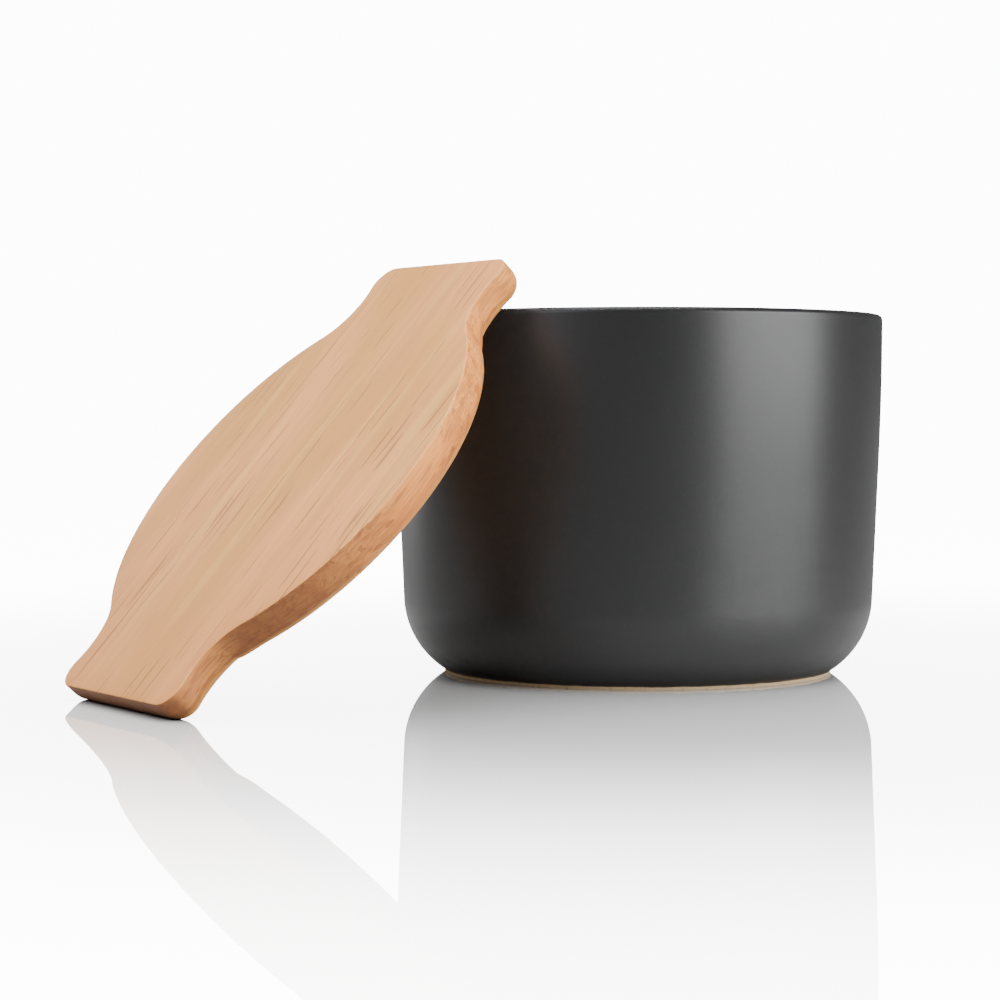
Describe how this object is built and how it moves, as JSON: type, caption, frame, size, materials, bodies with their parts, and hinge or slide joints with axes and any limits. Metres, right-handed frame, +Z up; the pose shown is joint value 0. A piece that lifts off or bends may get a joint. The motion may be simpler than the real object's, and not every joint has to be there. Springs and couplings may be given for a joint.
{
  "type": "salt pig",
  "caption": "Round matt stoneware salt pot on a bare clay foot, with a flat oak lid that has broad flaring ears and leans on its rim.",
  "frame": {"origin": "centre of the pot's foot ring, on the table", "axes": "+Z up along the pot's axis, +Y away from the picture's viewer, +X to the viewer's right"},
  "size_m": [0.1639, 0.152, 0.0861],
  "materials": {
    "stoneware": "matt charcoal glaze, bare clay foot ring",
    "oak": "oiled oak, straight grain along the ears"
  },
  "bodies": {
    "pot": {"pot": "stoneware"},
    "lid": {"lid": "oak"}
  },
  "joints": [
    {"name": "lid_lift", "type": "slide", "parent": "pot", "child": "lid", "axis": [0, 0, 1], "range_m": [0, 0.12]}
  ]
}
